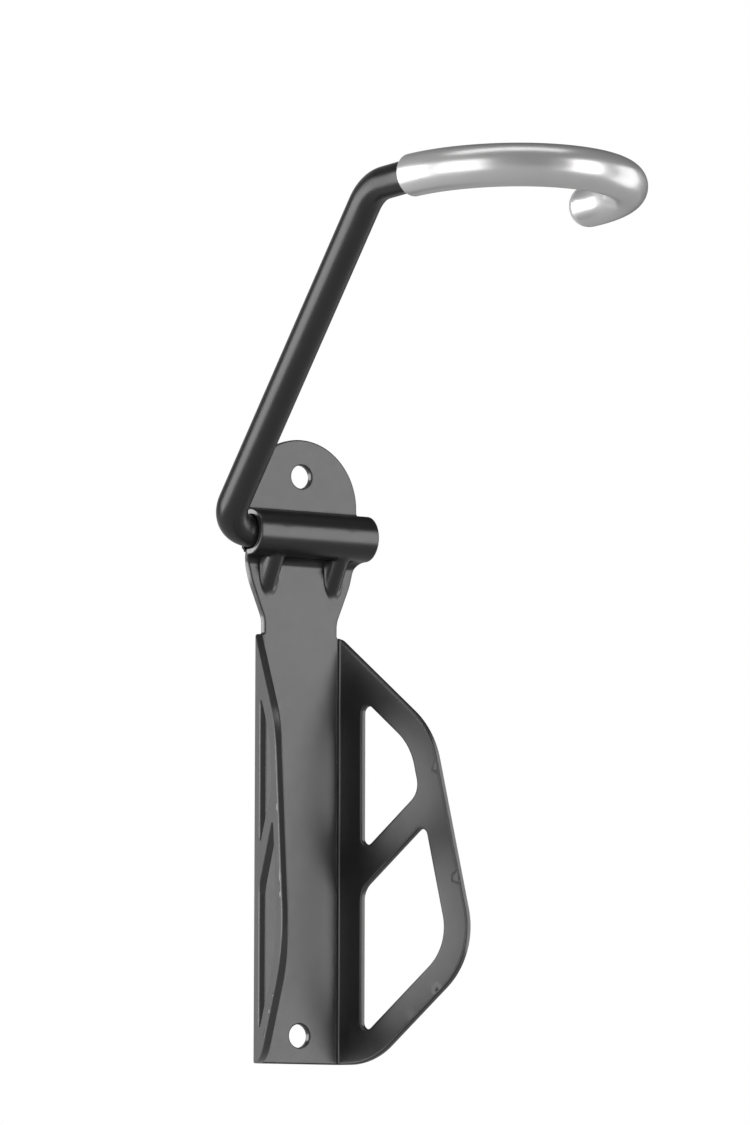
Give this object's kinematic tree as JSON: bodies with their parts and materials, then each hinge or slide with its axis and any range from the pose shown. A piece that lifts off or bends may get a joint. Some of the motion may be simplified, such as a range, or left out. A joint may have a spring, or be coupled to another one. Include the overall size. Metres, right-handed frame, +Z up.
{
  "type": "bicycle wall rack",
  "caption": "Wall rack that hangs a bicycle by one wheel: a pressed steel wall plate with a splayed tyre channel, and a padded hook on a bent rod that folds up.",
  "frame": {"origin": "on the wall face of the plate, midway between the two screw holes", "axes": "+X right along the wall, +Y into the wall, +Z up; the hook reaches out along -Y"},
  "size_m": [0.1065, 0.1759, 0.3251],
  "materials": {
    "powder_coat": "satin black powder coat",
    "bare_steel": "drawn steel, lightly oiled",
    "grey_vinyl": "glossy grey dipped vinyl"
  },
  "bodies": {
    "plate": {"wall_plate": "powder_coat", "left_retaining_strap": "powder_coat", "right_retaining_strap": "powder_coat"},
    "hook": {"hook_rod": "powder_coat", "stop_key": "bare_steel", "hook_sleeve": "grey_vinyl"}
  },
  "joints": [
    {"name": "hook_fold", "type": "hinge", "parent": "plate", "child": "hook", "pos_m": [0, -0.0078, 0.08255], "axis": [-1, 0, 0], "range_deg": [0, 41]}
  ]
}
